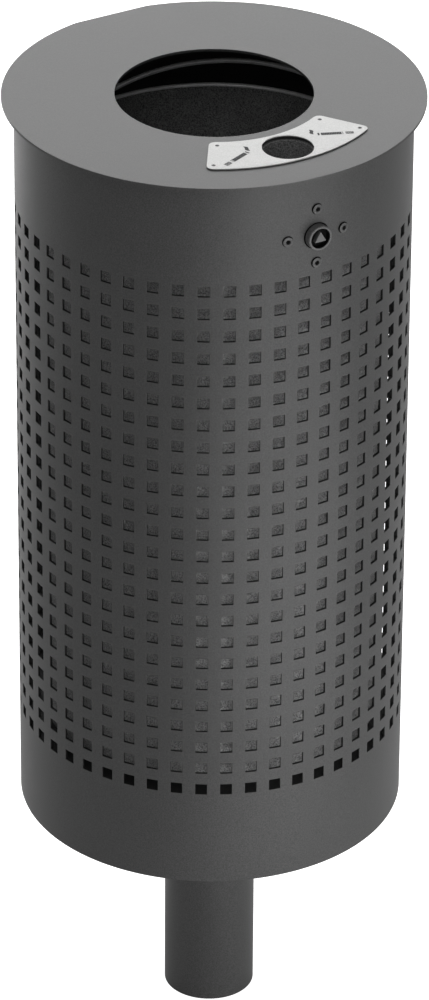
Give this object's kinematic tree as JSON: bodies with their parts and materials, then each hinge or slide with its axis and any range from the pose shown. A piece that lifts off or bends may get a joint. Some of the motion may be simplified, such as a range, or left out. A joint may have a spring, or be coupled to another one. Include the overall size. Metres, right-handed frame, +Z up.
{
  "type": "litter bin",
  "caption": "Post-mounted round litter bin: perforated casing, hinged lid with round mouth and ash plate, lift-out liner, key lock.",
  "frame": {"origin": "centre of the post's lower end", "axes": "+Z up along the post; -Y is the front with the lock and the ash plate; +Y is the rear with the hinge"},
  "size_m": [0.425, 0.4264, 1.0583],
  "materials": {
    "coated_casing": "matt fine-texture powder coat",
    "coated_lid": "matt fine-texture powder coat",
    "coated_post": "matt fine-texture powder coat",
    "stainless": "brushed",
    "galvanised": "hot-dip galvanised",
    "zinc_plated": "zinc plated",
    "lock_metal": "dark satin",
    "bush_plastic": "matt"
  },
  "bodies": {
    "casing": {"post": "coated_post", "post_flange": "coated_post", "flange_bolts": "zinc_plated", "flange_washers": "zinc_plated", "flange_nuts": "zinc_plated", "casing": "coated_casing", "casing_floor": "coated_casing", "lock_plate": "coated_casing", "lock_housing": "lock_metal", "lock_rivets": "lock_metal", "hinge_bracket": "coated_casing", "hinge_bolts": "zinc_plated", "hinge_nuts": "zinc_plated", "hinge_pin": "stainless", "hinge_clips": "stainless"},
    "lid": {"lid": "coated_lid", "lid_knuckle": "coated_lid", "hinge_bushes": "bush_plastic", "lid_catch": "coated_lid", "ash_plate": "stainless", "ash_plate_rivets": "stainless", "ash_cup_rails": "coated_lid"},
    "lock": {"lock_core": "lock_metal", "lock_cam": "zinc_plated", "lock_cam_screw": "zinc_plated"},
    "ash_cup": {"ash_cup": "zinc_plated"},
    "liner": {"liner_shell": "galvanised", "liner_rim_wire": "galvanised", "liner_base": "galvanised", "bail_ears": "galvanised", "ear_rivets": "galvanised"},
    "bail": {"liner_bail": "galvanised"}
  },
  "joints": [
    {"name": "lid_hinge", "type": "hinge", "parent": "casing", "child": "lid", "pos_m": [0, 0.2075, 1.046], "axis": [-1, 0, 0], "range_deg": [0, 100]},
    {"name": "lock_turn", "type": "hinge", "parent": "casing", "child": "lock", "pos_m": [0, -0.2, 0.986], "axis": [0, 1, 0], "range_deg": [0, 90]},
    {"name": "ash_cup_slide", "type": "slide", "parent": "lid", "child": "ash_cup", "axis": [0, 1, 0], "range_m": [0, 0.04]},
    {"name": "liner_lift", "type": "slide", "parent": "casing", "child": "liner", "axis": [0, 0, 1], "range_m": [0, 0.015]},
    {"name": "bail_swing", "type": "hinge", "parent": "liner", "child": "bail", "pos_m": [0, 0, 0.9685], "axis": [0.682, -0.7314, 0], "range_deg": [0, 6]}
  ]
}
